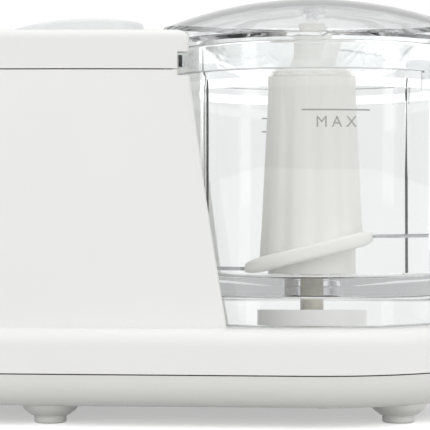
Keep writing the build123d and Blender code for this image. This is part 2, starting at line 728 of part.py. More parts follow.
def belt_loop(offset):
    """Stretched loop round both pulleys, offset from their faces."""
    small = Pos(motor_x, 0) * Circle(motor_pulley_radius + offset)
    large = Pos(bowl_x, 0) * Circle(spindle_pulley_radius + offset)
    return make_hull([*small.edges(), *large.edges()])


belt_plan = belt_loop(belt_clearance + belt_thickness) - belt_loop(belt_clearance)
save("drive_belt", Pos(0, 0, belt_low) * extrude(belt_plan, belt_high - belt_low))

# Motor: bracket, damper, steel can with two magnets, and the end cap with its brushes
bracket = Pos(motor_x, 0, deck_top) * extrude(
    fillet(Rectangle(bracket_size, 2 * motor_radius).vertices(), 5.0), bracket_thickness)
bracket -= rod(motor_radius / 2, deck_top - 1, can_base, motor_x)
for spread in (-motor_screw_spread, motor_screw_spread):
    bracket -= rod(screw_radius + screw_clearance, deck_top - 1, can_base, motor_x + spread)
save("motor_bracket", bracket)
bracket_top = deck_top + bracket_thickness
damper_bore = motor_radius / 2 + 0.5
damper_radius = motor_screw_spread - screw_head_radius - 0.5
save("motor_damper", tube(damper_radius, damper_bore, bracket_top, can_base, motor_x))
motor_screw_length = wall + bracket_thickness
save("motor_screws", group(
    screw(motor_x + spread, 0, deck_underside, motor_screw_length)
    for spread in (-motor_screw_spread, motor_screw_spread)))
can_bush_radius = 4.0
motor_can = rod(motor_radius, can_base, can_top, motor_x)
motor_can -= rod(motor_radius - motor_can_wall, can_base + motor_can_wall, can_top + 1, motor_x)
motor_can -= rod(can_bush_radius, can_base - 1, can_top, motor_x)
save("motor_can", motor_can)
motor_bush_bore = motor_shaft_radius + running_clearance
save("motor_bush_lower", tube(can_bush_radius, motor_bush_bore, can_base - 1.5, can_base + 4.0, motor_x))
magnet_low = armature_base - 2.0
magnet_high = armature_base + armature_length + 2.0
magnet_ring = tube(motor_radius - motor_can_wall, armature_radius + air_gap, magnet_low, magnet_high, motor_x)
magnet_gap = 9.0
gap_slab = block(motor_x - 2 * motor_radius, motor_x + 2 * motor_radius, -magnet_gap, magnet_gap,
                 magnet_low - 1, magnet_high + 1)
save("motor_magnets", group((magnet_ring - gap_slab).solids()))
end_cap = rod(motor_radius, can_top, end_cap_top, motor_x)
end_cap += rod(motor_radius - motor_can_wall, can_top - 3.0, can_top, motor_x)
end_cap -= rod(motor_radius - 4.0, can_top - 4.0, end_cap_top - wall, motor_x)
end_cap -= rod(can_bush_radius, can_top, end_cap_top + 1, motor_x)
save("motor_end_cap", end_cap)
cap_bush_low = end_cap_top - wall - 2.0
save("motor_bush_upper", tube(can_bush_radius, motor_bush_bore, cap_bush_low, end_cap_top, motor_x))

# Rotor: shaft, laminated core, windings, commutator and fan
save("motor_shaft", rod(motor_shaft_radius, pulley_base - 1.0, motor_shaft_top, motor_x))
core = tube(armature_radius, motor_shaft_radius, armature_base, armature_base + armature_length, motor_x)
pole_slots = 7
for step in range(pole_slots):
    slot_turn = Pos(motor_x, 0, 0) * Rot(0, 0, step * 360 / pole_slots)
    core -= slot_turn * block(armature_radius - 5.0, armature_radius + 1, -1.0, 1.0,
                              armature_base - 1, armature_base + armature_length + 1)
save("armature_core", core)
winding_radius = armature_radius - 1.5
winding_height = 5.0
core_top = armature_base + armature_length
save("armature_windings", group((
    tube(winding_radius, motor_shaft_radius + 1.0, armature_base - winding_height, armature_base, motor_x),
    tube(winding_radius, motor_shaft_radius + 1.0, core_top, core_top + winding_height, motor_x))))
commutator_radius = 4.5
commutator_low = core_top + winding_height
commutator_high = can_top + 1.8
save("commutator", tube(commutator_radius, motor_shaft_radius, commutator_low, commutator_high, motor_x))
brush_length = 8.0
brush_gap = 0.3
brush_half_width = 2.0
brush_low = can_top - 1.5
brush_high = can_top + 1.5
brush_middle = commutator_radius + brush_gap + brush_length / 2
save("carbon_brushes", group(
    block(motor_x + side * brush_middle - brush_length / 2, motor_x + side * brush_middle + brush_length / 2,
          -brush_half_width, brush_half_width, brush_low, brush_high)
    for side in (-1, 1)))
fan = tube(fan_radius, motor_shaft_radius, fan_base, fan_base + 1.2, motor_x)
fan += tube(motor_shaft_radius + 2.5, motor_shaft_radius, fan_base, fan_base + fan_height, motor_x)
fan_blades = 9
for step in range(fan_blades):
    fan_turn = Pos(motor_x, 0, 0) * Rot(0, 0, step * 360 / fan_blades)
    fan += fan_turn * block(motor_shaft_radius + 1.5, fan_radius, -0.5, 0.5, fan_base, fan_base + fan_height)
save("cooling_fan", fan)

# Power switch under the button, with its plunger and the button's two return springs
switch_length = 20.0
switch_depth = 11.0
switch_gap = 0.4
plunger_rise = 2.0
plunger_top = stem_bottom - switch_gap
switch_top = plunger_top - plunger_rise - button_travel
switch_low = motor_shaft_top + 1.0
switch_body = block(button_x - switch_length / 2, button_x + switch_length / 2, -switch_depth / 2,
                    switch_depth / 2, switch_low, switch_top)
plunger_radius = 2.4
plunger_depth = 2.0
switch_body -= rod(plunger_radius + 0.1, switch_top - plunger_depth - button_travel, switch_top + 1, button_x)
save("switch_body", switch_body)
save("switch_plunger", rod(plunger_radius, switch_top - plunger_depth + 0.3, plunger_top, button_x))

spring_wire_radius = 0.4
spring_radius = stem_radius + 1.6
spring_turns = 5
spring_low = switch_top + spring_wire_radius
spring_high = tower_top - button_wall - spring_wire_radius
coil = Helix((spring_high - spring_low) / spring_turns, spring_high - spring_low, spring_radius)
wire_section = Plane(coil @ 0, z_dir=coil % 0) * Circle(spring_wire_radius)
save("button_spring", Pos(button_x, 0, spring_low) * sweep(wire_section, coil, is_frenet=True))

# Rectifier board standing beside the motor
board_x = motor_x - motor_radius - 9.0
board_half_depth = 14.0
board_low = deck_top + 6.0
board_high = board_low + 38.0
board_thickness = 1.6
save("rectifier_board", block(board_x, board_x + board_thickness, -board_half_depth, board_half_depth,
                              board_low, board_high))
part_x = board_x + board_thickness
save("bridge_rectifier", block(part_x, part_x + 4.5, -10.0, 2.0, board_low + 20.0, board_low + 32.0))
capacitor = Pos(part_x, 6.0, board_low + 9.0) * Rot(0, 90, 0) * Cylinder(
    4.0, 5.5, align=(Align.CENTER, Align.CENTER, Align.MIN))
save("capacitor", capacitor)

# Cord inlet grommet in the back of the base
grommet = radial_piece(inlet_radius, left_end_radius - wall - 0.4, left_end_radius + 0.2)
grommet += radial_piece(inlet_flange_radius, left_end_radius + 0.2, left_end_radius + 0.2 + inlet_flange)
grommet += radial_piece(inlet_flange_radius, left_end_radius - wall - 0.4 - inlet_flange,
                        left_end_radius - wall - 0.4)
grommet -= radial_piece(inlet_bore, left_end_radius - 3 * wall, left_end_radius + 3 * wall)
save("cord_inlet_grommet", grommet)
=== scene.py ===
"""The looks of a small food processor: a white side tower, a clear bowl and lid, and a fluted blade hub.

Metres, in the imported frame: +X from the tower to the bowl, +Y to the back, +Z up. Sizes written as plain
numbers are millimetres, and MM turns them into metres.
"""
import math

import bmesh
import bpy
from mathutils import Matrix, Vector


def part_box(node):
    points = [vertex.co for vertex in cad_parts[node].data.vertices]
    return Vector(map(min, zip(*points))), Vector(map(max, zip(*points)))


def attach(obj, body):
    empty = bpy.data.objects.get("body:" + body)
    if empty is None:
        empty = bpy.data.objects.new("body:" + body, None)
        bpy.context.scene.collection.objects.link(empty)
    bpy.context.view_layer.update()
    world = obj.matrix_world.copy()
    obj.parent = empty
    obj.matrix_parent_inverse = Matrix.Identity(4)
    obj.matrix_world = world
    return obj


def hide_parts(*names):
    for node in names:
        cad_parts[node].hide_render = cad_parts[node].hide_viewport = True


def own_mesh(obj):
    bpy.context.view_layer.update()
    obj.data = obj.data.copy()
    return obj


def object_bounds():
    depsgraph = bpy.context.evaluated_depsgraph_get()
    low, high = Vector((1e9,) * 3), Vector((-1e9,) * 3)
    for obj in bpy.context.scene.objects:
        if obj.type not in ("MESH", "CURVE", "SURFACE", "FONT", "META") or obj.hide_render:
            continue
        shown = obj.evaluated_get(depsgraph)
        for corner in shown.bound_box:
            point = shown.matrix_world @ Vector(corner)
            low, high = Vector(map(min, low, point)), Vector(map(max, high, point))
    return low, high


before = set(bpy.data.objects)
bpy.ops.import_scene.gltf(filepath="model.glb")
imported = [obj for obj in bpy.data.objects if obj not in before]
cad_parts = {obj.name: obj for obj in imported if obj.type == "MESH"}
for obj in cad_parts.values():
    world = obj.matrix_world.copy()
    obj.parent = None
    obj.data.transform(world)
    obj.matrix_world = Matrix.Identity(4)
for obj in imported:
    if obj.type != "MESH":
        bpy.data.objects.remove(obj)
cad_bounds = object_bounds()
MM = 0.001

# Stage: a pale sheet of card under the object, in a white room with three soft lamps. It isn't part of the
# object. Sharp reflections and rays through clear plastic see the room darker above and at the front, which
# draws the grey edges on the clear pieces.


def colour(text):
    """Linear colour from an sRGB hex value."""
    parts = [int(text[place:place + 2], 16) / 255 for place in (1, 3, 5)]
    linear = [part / 12.92 if part <= 0.04045 else ((part + 0.055) / 1.055) ** 2.4 for part in parts]
    return (*linear, 1.0)


def add(tree, kind, links=None, **settings):
    """Add a node. settings are its properties or its inputs' values (i3 is input 3), links the sources."""
    made = tree.nodes.new(kind)
    for name, value in settings.items():
        if hasattr(made, name):
            setattr(made, name, value)
        else:
            socket = int(name[1:]) if name[1:].isdigit() else name.replace("_", " ")
            made.inputs[socket].default_value = value
    for name, source in (links or {}).items():
        tree.links.new(source, made.inputs[name])
    return made


room = bpy.data.worlds.new("white_room")
room.use_nodes = True
bpy.context.scene.world = room
tree = room.node_tree
tree.nodes.clear()
place = add(tree, "ShaderNodeTexCoord")
split = add(tree, "ShaderNodeSeparateXYZ", {"Vector": place.outputs["Generated"]})
backward, upward = split.outputs["Y"], split.outputs["Z"]
smooth_step = {"interpolation_type": "SMOOTHSTEP"}
level_front = add(tree, "ShaderNodeMapRange", {"Value": backward}, **smooth_step,
                  From_Min=-0.3, From_Max=0.6, To_Min=1.09, To_Max=1.0)
level_above = add(tree, "ShaderNodeMapRange", {"Value": upward}, **smooth_step,
                  From_Min=0.1, From_Max=0.9, To_Min=0.0, To_Max=0.12)
glow = add(tree, "ShaderNodeMath", {0: level_front.outputs[0], 1: level_above.outputs[0]}, operation="ADD")
dim_above = add(tree, "ShaderNodeMapRange", {"Value": upward}, **smooth_step,
                From_Min=0.12, From_Max=0.45, To_Min=0.95, To_Max=0.52)
dim_front = add(tree, "ShaderNodeMapRange", {"Value": backward}, **smooth_step,
                From_Min=-0.2, From_Max=0.7, To_Min=0.62, To_Max=1.0)
mirrored = add(tree, "ShaderNodeMath", {0: dim_above.outputs[0], 1: dim_front.outputs[0]},
               operation="MULTIPLY")
seen = add(tree, "ShaderNodeLightPath")
sharp_rays = {0: seen.outputs["Is Glossy Ray"], 1: seen.outputs["Is Transmission Ray"]}
sharp = add(tree, "ShaderNodeMath", sharp_rays, operation="MAXIMUM")
lit = add(tree, "ShaderNodeMix", {"Factor": sharp.outputs[0], 2: glow.outputs[0], 3: mirrored.outputs[0]})
level = add(tree, "ShaderNodeMix", {"Factor": seen.outputs["Is Camera Ray"], 2: lit.outputs[0]}, i3=1.02)
shine = add(tree, "ShaderNodeBackground", {"Strength": level.outputs[0]}, Color=colour("#FFFFFF"))
add(tree, "ShaderNodeOutputWorld", {"Surface": shine.outputs[0]})
bounce_limit = 32
bounces = bpy.context.scene.cycles
bounces.max_bounces = bounces.transmission_bounces = bounce_limit
bounces.glossy_bounces = bounces.transparent_max_bounces = bounce_limit


def finish(name, build, depth=None):
    """New material whose surface is what build returns, and whose depth dims the light inside it."""
    made = bpy.data.materials.new(name)
    made.use_nodes = True
    made.node_tree.nodes.clear()
    links = {"Surface": build(made.node_tree).outputs[0]}
    if depth:
        links["Volume"] = depth(made.node_tree).outputs[0]
    add(made.node_tree, "ShaderNodeOutputMaterial", links)
    return made


def card_surface(tree):
    """Matt white card, lit enough to stay white."""
    where = add(tree, "ShaderNodeTexCoord").outputs["Object"]
    grain = add(tree, "ShaderNodeTexNoise", {"Vector": where}, Scale=900.0, Detail=2.0)
    bump = add(tree, "ShaderNodeBump", {"Height": grain.outputs["Fac"]}, Strength=0.02, Distance=0.1 * MM)
    card = add(tree, "ShaderNodeBsdfPrincipled", {"Normal": bump.outputs[0]}, Roughness=0.9,
               Base_Color=colour("#FAFAFA"), Emission_Color=colour("#FFFFFF"), Emission_Strength=0.42)
    dim = add(tree, "ShaderNodeBsdfDiffuse", Color=colour("#C8C8C7"))
    ray = add(tree, "ShaderNodeLightPath")
    return add(tree, "ShaderNodeMixShader", {0: ray.outputs["Is Diffuse Ray"], 1: card.outputs[0],
                                             2: dim.outputs[0]})


def mesh_piece(name, vertices, faces, material):
    """New object at the origin from a list of vertices and faces."""
    mesh = bpy.data.meshes.new(name)
    mesh.from_pydata(vertices, [], faces)
    mesh.materials.append(material)
    made = bpy.data.objects.new(name, mesh)
    bpy.context.scene.collection.objects.link(made)
    return made


floor_half = 4.0
floor_corners = [Vector((x, y, 0.0)) * floor_half for x, y in ((-1, -1), (1, -1), (1, 1), (-1, 1))]
white_card = finish("matt_white_card", card_surface)
floor = mesh_piece("pale_floor", floor_corners, [(0, 1, 2, 3)], white_card)


def softbox(name, spot, aim, size, power):
    """Rectangular area light at spot, facing aim."""
    lamp = bpy.data.lights.new(name, "AREA")
    lamp.shape = "RECTANGLE"
    lamp.size, lamp.size_y = size
    lamp.energy = power
    holder = bpy.data.objects.new(name, lamp)
    holder.location = spot
    holder.rotation_euler = (Vector(aim) - Vector(spot)).to_track_quat("-Z", "Y").to_euler()
    bpy.context.scene.collection.objects.link(holder)


low, high = cad_bounds
middle = [(low[axis] + high[axis]) / 2 for axis in range(3)]
softbox("top_box", (0.1, 0.0, 0.95), middle, (0.7, 0.5), 0.45)
softbox("left_box", (-0.8, -0.7, 0.5), middle, (0.25, 0.7), 0.5)
softbox("right_box", (0.85, -0.5, 0.45), middle, (0.2, 0.7), 0.5)

eye_x, eye_distance, eye_height, eye_lens = 0.0136, 0.6, 0.0672, 145.7
lens = bpy.data.cameras.new("eye")
lens.sensor_width = 36.0
lens.lens = eye_lens
eye = bpy.data.objects.new("eye", lens)
eye.location = (eye_x, -eye_distance, eye_height)
eye.rotation_euler = (math.pi / 2, 0.0, 0.0)
bpy.context.scene.collection.objects.link(eye)
bpy.context.scene.camera = eye
bpy.context.scene.view_settings.view_transform = "Standard"


# Bottom cover: a shallow tray of white moulded ABS, closed over the belt by four screws from below.
# The tool's spark-eroded steel leaves a very fine even texture on ABS, under a soft gloss.


def finish_node(name, material):
    """Give a CAD node's slots one material."""
    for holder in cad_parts[name].material_slots:
        holder.material = material


def darker(base, share):
    """Linear colour from an sRGB hex value, darker by a share."""
    return tuple(part * (1 - share) for part in colour(base)[:3]) + (1.0,)


def moulded(base, roughness, grain_mm, grain_depth_mm, mottle=0.02, ior=1.53):
    """Surface builder for an opaque moulding: fine tool texture and a faint flow mottle."""
    def build(tree):
        where = add(tree, "ShaderNodeTexCoord").outputs["Object"]
        grain_scale = 1.0 / (grain_mm * MM)
        grain = add(tree, "ShaderNodeTexNoise", {"Vector": where}, Scale=grain_scale, Detail=3.0)
        bump = add(tree, "ShaderNodeBump", {"Height": grain.outputs["Fac"]}, Strength=0.35,
                   Distance=grain_depth_mm * MM)
        flow = add(tree, "ShaderNodeTexNoise", {"Vector": where}, Scale=40.0, Detail=2.0)
        shade = add(tree, "ShaderNodeMix", {"Factor": flow.outputs["Fac"]}, data_type="RGBA",
                    i6=colour(base), i7=darker(base, mottle))
        gloss = add(tree, "ShaderNodeMapRange", {"Value": flow.outputs["Fac"]},
                    To_Min=roughness * 0.92, To_Max=roughness * 1.08)
        links = {"Base Color": shade.outputs[2], "Roughness": gloss.outputs[0], "Normal": bump.outputs[0]}
        return add(tree, "ShaderNodeBsdfPrincipled", links, IOR=ior)
    return build


white_abs = finish("moulded_white_abs", moulded("#EDEDEB", 0.3, 0.35, 0.006))
# The bottom cover gets a darker copy of the white ABS, #DEDEDB against #EDEDEB. The plastic is the same white
# as the housing, so the darker colour is painted shade for an underside that gets less light.
shaded_cover_abs = finish("white_abs_painted_underside_shade", moulded("#DEDEDB", 0.36, 0.35, 0.008))
finish_node("bottom_cover", shaded_cover_abs)

# Foot pads: soft pale rubber discs pushed into pockets in the cover's moulded bosses.
# Rubber is matt, and shows a faint dusty mottle.
pad_rubber = finish("pale_pad_rubber", moulded("#EDEDEA", 0.6, 0.2, 0.02, mottle=0.05, ior=1.52))
for node in ("foot_pad_front_left", "foot_pad_front_right", "foot_pad_rear_left", "foot_pad_rear_right"):
    finish_node(node, pad_rubber)

# Cord inlet: a dark grommet snapped into a hole in the back of the base. It is moulded in one piece from
# grey rubber, which is matt and a little mottled.
dark_rubber = finish("moulded_grey_rubber", moulded("#8E8E8C", 0.65, 0.2, 0.02, mottle=0.1, ior=1.52))
finish_node("cord_inlet_grommet", dark_rubber)

# Screws and plated steel: zinc-plated mild steel, with the faint crystalline bloom of plating. The base
# screws have pan heads with a crossed slot, and are driven up through the cover into the housing.


def metal(base, roughness, bloom_mm, bloom=0.12):
    """Surface builder for metal with a faint bloom of a given size."""
    def build(tree):
        where = add(tree, "ShaderNodeTexCoord").outputs["Object"]
        flake_scale = 1.0 / (bloom_mm * MM)
        flakes = add(tree, "ShaderNodeTexNoise", {"Vector": where}, Scale=flake_scale, Detail=4.0)
        shade = add(tree, "ShaderNodeMix", {"Factor": flakes.outputs["Fac"]}, data_type="RGBA",
                    i6=colour(base), i7=darker(base, bloom))
        gloss = add(tree, "ShaderNodeMapRange", {"Value": flakes.outputs["Fac"]},
                    To_Min=roughness * 0.8, To_Max=roughness * 1.3)
        links = {"Base Color": shade.outputs[2], "Roughness": gloss.outputs[0]}
        return add(tree, "ShaderNodeBsdfPrincipled", links, Metallic=1.0)
    return build


zinc = finish("zinc_plated_steel", metal("#B9BCBF", 0.32, 0.8))
for node in ("bottom_cover_screws", "top_cover_screws", "motor_screws", "motor_bracket", "motor_can",
             "spindle_clip", "armature_core"):
    finish_node(node, zinc)

cover_low, cover_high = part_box("bottom_cover_screws")
head_radius, head_height, shank_radius, cross_width, end_screw_side = 3.0, 2.0, 1.5, 0.7, 18.0
head_seat = cover_low[2] + head_height * MM


def screw_tree():
    """Pan-head screws with a crossed slot, one at each point, heads down."""
    tree = bpy.data.node_groups.new("pan_head_screws", "GeometryNodeTree")
    tree.interface.new_socket("Places", in_out="INPUT", socket_type="NodeSocketGeometry")
    for name in ("Head Radius", "Head Height", "Shank Radius", "Shank Length", "Cross Width"):
        tree.interface.new_socket(name, in_out="INPUT", socket_type="NodeSocketFloat")
    tree.interface.new_socket("Finish", in_out="INPUT", socket_type="NodeSocketMaterial")
    tree.interface.new_socket("Screws", in_out="OUTPUT", socket_type="NodeSocketGeometry")
    given = add(tree, "NodeGroupInput").outputs
    wide, tall, slot_width = given["Head Radius"], given["Head Height"], given["Cross Width"]
    ball = add(tree, "GeometryNodeMeshUVSphere", {"Radius": wide}, Segments=32, Rings=16)
    flat = add(tree, "ShaderNodeMath", {0: tall, 1: wide}, operation="DIVIDE")
    press = add(tree, "ShaderNodeCombineXYZ", {"Z": flat.outputs[0]}, X=1.0, Y=1.0)
    pressed = {"Geometry": ball.outputs["Mesh"], "Scale": press.outputs[0]}
    head = add(tree, "GeometryNodeTransform", pressed)
    arms = []
    for long_way, short_way in (("X", "Y"), ("Y", "X")):
        size = add(tree, "ShaderNodeCombineXYZ", {long_way: wide, short_way: slot_width, "Z": tall})
        arms.append(add(tree, "GeometryNodeMeshCube", {"Size": size.outputs[0]}).outputs["Mesh"])
    drop = add(tree, "ShaderNodeMath", {0: tall}, operation="MULTIPLY", i1=-1.0)
    low = add(tree, "ShaderNodeCombineXYZ", {"Z": drop.outputs[0]})
    cut = add(tree, "GeometryNodeMeshBoolean", {"Mesh 1": head.outputs[0]}, operation="DIFFERENCE")
    for arm in arms:
        lowered = add(tree, "GeometryNodeTransform", {"Geometry": arm, "Translation": low.outputs[0]})
        tree.links.new(lowered.outputs[0], cut.inputs["Mesh 2"])
    shank_size = {"Radius": given["Shank Radius"], "Depth": given["Shank Length"]}
    shank = add(tree, "GeometryNodeMeshCylinder", shank_size, Vertices=24)
    half = add(tree, "ShaderNodeMath", {0: given["Shank Length"]}, operation="MULTIPLY", i1=0.5)
    up = add(tree, "ShaderNodeCombineXYZ", {"Z": half.outputs[0]})
    lifted = {"Geometry": shank.outputs["Mesh"], "Translation": up.outputs[0]}
    raised = add(tree, "GeometryNodeTransform", lifted)
    whole = add(tree, "GeometryNodeJoinGeometry", {"Geometry": cut.outputs["Mesh"]})
    tree.links.new(raised.outputs[0], whole.inputs["Geometry"])
    copies = {"Points": given["Places"], "Instance": whole.outputs[0]}
    placed = add(tree, "GeometryNodeInstanceOnPoints", copies)
    real = add(tree, "GeometryNodeRealizeInstances", {"Geometry": placed.outputs[0]})
    coat = {"Geometry": real.outputs[0], "Material": given["Finish"]}
    coated = add(tree, "GeometryNodeSetMaterial", coat)
    add(tree, "NodeGroupOutput", {"Screws": coated.outputs[0]})
    return tree


def evaluated(made):
    """Plain mesh of an object with its modifiers applied."""
    bpy.context.view_layer.update()
    return bpy.data.meshes.new_from_object(made.evaluated_get(bpy.context.evaluated_depsgraph_get()))


def grown(name, places, tree, values):
    """Run a node tree on a few points and keep the plain mesh that it makes."""
    made = mesh_piece(name, places, [], zinc)
    growth = made.modifiers.new("growth", "NODES")
    growth.node_group = tree
    for socket in tree.interface.items_tree:
        if socket.name in values:
            growth[socket.identifier] = values[socket.name]
    result = evaluated(made)
    made.modifiers.remove(growth)
    made.data = result
    return made


end_x, end_y = cover_low[0] + head_radius * MM, end_screw_side * MM
side_x, side_y = cover_high[0] - head_radius * MM, cover_high[1] - head_radius * MM
screw_spots = ((end_x, end_y), (side_x, side_y))
screw_places = [(x, way * y, head_seat) for x, y in screw_spots for way in (-1, 1)]
base_screws = grown("pan_head_base_screws", screw_places, screw_tree(), {
    "Head Radius": head_radius * MM, "Head Height": head_height * MM, "Shank Radius": shank_radius * MM,
    "Shank Length": cover_high[2] - head_seat, "Cross Width": cross_width * MM, "Finish": zinc})
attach(base_screws, "housing")
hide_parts("bottom_cover_screws")

# Motor: ground shaft in sintered bronze bushes, ferrite magnets, enamelled copper windings,
# and a black nylon end cap and fan. It stands on a rubber damper inside the tower.
ground_steel = finish("ground_steel", metal("#C4C6C8", 0.2, 0.3))
bronze = finish("sintered_bronze", metal("#A98B57", 0.5, 0.15, 0.3))
copper = finish("enamelled_copper", metal("#B8693F", 0.35, 0.3, 0.3))
ferrite = finish("sintered_ferrite", moulded("#2B2B2D", 0.55, 0.3, 0.02, mottle=0.2))
nylon = finish("black_nylon", moulded("#222324", 0.45, 0.4, 0.02, mottle=0.1))
belt_rubber = finish("black_belt_rubber", moulded("#1C1C1C", 0.7, 0.2, 0.03, mottle=0.15))
for material, nodes in {
    ground_steel: ("motor_shaft",),
    bronze: ("motor_bush_lower", "motor_bush_upper", "spindle_bush_upper", "spindle_bush_lower"),
    copper: ("armature_windings", "commutator"),
    ferrite: ("motor_magnets", "carbon_brushes"),
    nylon: ("motor_end_cap", "cooling_fan", "switch_body", "bridge_rectifier", "capacitor"),
    belt_rubber: ("drive_belt", "motor_damper"),
}.items():
    for node in nodes:
        finish_node(node, material)
board_laminate = finish("phenolic_board", moulded("#9A7B3C", 0.5, 0.5, 0.01, mottle=0.15))
finish_node("rectifier_board", board_laminate)

# Spindle, pulleys, drive head, socket and sliding pieces: natural acetal, an ivory plastic with a waxy sheen.
# It is moulded, over a steel core for the spindle, and needs no grease.
acetal = finish("natural_acetal", moulded("#E6E1D3", 0.38, 0.5, 0.01, ior=1.48))
for node in ("spindle_shaft", "spindle_pulley", "motor_pulley", "drive_head", "hub_drive_socket",
             "switch_plunger", "interlock_slider"):
    finish_node(node, acetal)

# Housing and tower top cover: the visible white ABS shells. They are injection moulded, and four screws
# inside the tower close them on each other at a fine seam.
for node in ("upper_housing", "tower_top_cover"):
    finish_node(node, white_abs)

# Pulse button: a domed cap of frosted plastic that moves in the top cover's opening. It is moulded with an
# even frost, and a spring under it brings it back up.
frosted = finish("frosted_button_plastic", moulded("#E6E7E8", 0.16, 0.4, 0.004, ior=1.57))
finish_node("pulse_button", frosted)

# Button spring: a coil of plated spring wire under the button, with its end turns closed flat.


def smoothed(mesh, flat_angle, outwards):
    """Merge doubles and shade smooth, with edges past flat_angle left sharp. outwards turns the faces out."""
    merge_gap = 0.002 * MM
    shell = bmesh.new()
    shell.from_mesh(mesh)
    bmesh.ops.remove_doubles(shell, verts=shell.verts, dist=merge_gap)
    bmesh.ops.dissolve_degenerate(shell, edges=shell.edges, dist=merge_gap)
    if outwards:
        bmesh.ops.recalc_face_normals(shell, faces=shell.faces)
    for face in shell.faces:
        face.smooth = True
    for edge in shell.edges:
        edge.smooth = len(edge.link_faces) == 2 and edge.calc_face_angle() < math.radians(flat_angle)
    shell.to_mesh(mesh)
    shell.free()


def closed_mesh(name, vertices, faces, material, flat_angle=40.0):
    """New closed piece with its faces outwards, smooth but for edges past flat_angle."""
    made = mesh_piece(name, vertices, faces, material)
    smoothed(made.data, flat_angle, outwards=True)
    return made


def tube_faces(rings, sides):
    """Faces of a closed tube whose points are rings of a few sides, with a flat face at each end."""
    faces = []
    for ring in range(rings - 1):
        first, after = ring * sides, (ring + 1) * sides
        for side in range(sides):
            beside = (side + 1) % sides
            faces.append((first + side, first + beside, after + beside, after + side))
    last = (rings - 1) * sides
    return faces + [tuple(range(sides)), tuple(last + side for side in range(sides))]


spring_low, spring_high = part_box("button_spring")
wire_radius, spring_turns, end_turns, wire_round, turn_steps = 0.4 * MM, 5, 1.0, 10, 24
coil_radius = (spring_high[0] - spring_low[0]) / 2 - wire_radius
coil_middle = ((spring_high[0] + spring_low[0]) / 2, (spring_high[1] + spring_low[1]) / 2)
coil_bottom, coil_top = spring_low[2] + wire_radius, spring_high[2] - wire_radius
coil_points = []
coil_steps = int((spring_turns + 2 * end_turns) * turn_steps)
coil_climb = coil_top - coil_bottom - 4 * wire_radius * end_turns
for step in range(coil_steps + 1):
    turn = step / turn_steps
    climb = min(1.0, max(0.0, (turn - end_turns) / spring_turns))
    flat_end = 2 * wire_radius * (min(turn, end_turns) + max(0.0, turn - end_turns - spring_turns))
    height = coil_bottom + flat_end + coil_climb * climb
    for spoke in range(wire_round):
        lean = spoke * math.tau / wire_round
        reach = coil_radius + wire_radius * math.cos(lean)
        x = coil_middle[0] + reach * math.cos(turn * math.tau)
        y = coil_middle[1] + reach * math.sin(turn * math.tau)
        coil_points.append((x, y, height + wire_radius * math.sin(lean)))
coil_faces = tube_faces(coil_steps + 1, wire_round)
coil_spring = closed_mesh("coiled_button_spring", coil_points, coil_faces, zinc)
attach(coil_spring, "housing")
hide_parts("button_spring")
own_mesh(coil_spring)

# Bowl: one clear moulding in styrene acrylonitrile, a hard glass-clear plastic. Its wall, floor, skirt and
# centre post have rounded edges, four ribs stiffen the wall, and it stands loose in the tower's recess.


def clear_surface(tree):
    """Clear plastic with faint flow lines from the mould, which lets soft light straight through."""
    where = add(tree, "ShaderNodeTexCoord").outputs["Object"]
    flow = add(tree, "ShaderNodeTexNoise", {"Vector": where}, Scale=28.0, Detail=1.0)
    bump = add(tree, "ShaderNodeBump", {"Height": flow.outputs["Fac"]}, Strength=0.05, Distance=1.0 * MM)
    body = add(tree, "ShaderNodeBsdfPrincipled", {"Normal": bump.outputs[0]}, IOR=1.57,
               Base_Color=colour("#FDFEFE"), Roughness=0.02, Transmission_Weight=1.0)
    open_way = add(tree, "ShaderNodeBsdfTransparent", Color=colour("#FCFCFC"))
    ray = add(tree, "ShaderNodeLightPath")
    soft_rays = {0: ray.outputs["Is Shadow Ray"], 1: ray.outputs["Is Diffuse Ray"]}
    soft = add(tree, "ShaderNodeMath", soft_rays, operation="MAXIMUM")
    mixed = {0: soft.outputs[0], 1: body.outputs[0], 2: open_way.outputs[0]}
    return add(tree, "ShaderNodeMixShader", mixed)


def clear_depth(tree):
    """Neutral absorption, so that edges and long ways through the plastic go grey."""
    return add(tree, "ShaderNodeVolumeAbsorption", Color=colour("#8C8E90"), Density=10.0)


def rounded(corners, steps=5):
    """Closed outline from (radius, height, corner radius) points in millimetres, in metres."""
    outline = []
    for place, (radius, height, corner) in enumerate(corners):
        here = Vector((radius, height, 0.0))
        after = corners[(place + 1) % len(corners)]
        if not corner:
            outline.append((radius * MM, height * MM))
            continue
        into = (Vector((*corners[place - 1][:2], 0.0)) - here).normalized()
        out = (Vector((*after[:2], 0.0)) - here).normalized()
        half = into.angle(out) / 2
        centre = here + (into + out).normalized() * corner / math.sin(half)
        start, end = (here + way * corner / math.tan(half) - centre for way in (into, out))
        for step in range(steps + 1):
            point = centre + start.slerp(end, step / steps)
            outline.append((point.x * MM, point.y * MM))
    return outline


def spun(outline, x, angles, shape=None):
    """Vertices and faces of a ring about an upright axis at x. shape moves a point by its angle."""
    vertices = []
    for angle in angles:
        for radius, height in outline:
            if shape:
                radius, height = shape(radius, height, angle)
            vertices.append((x + radius * math.cos(angle), radius * math.sin(angle), height))
    across, around = len(outline), len(angles)
    faces = [(ring * across + spot, (ring + 1) % around * across + spot,
              (ring + 1) % around * across + (spot + 1) % across, ring * across + (spot + 1) % across)
             for ring in range(around) for spot in range(across)]
    return vertices, faces


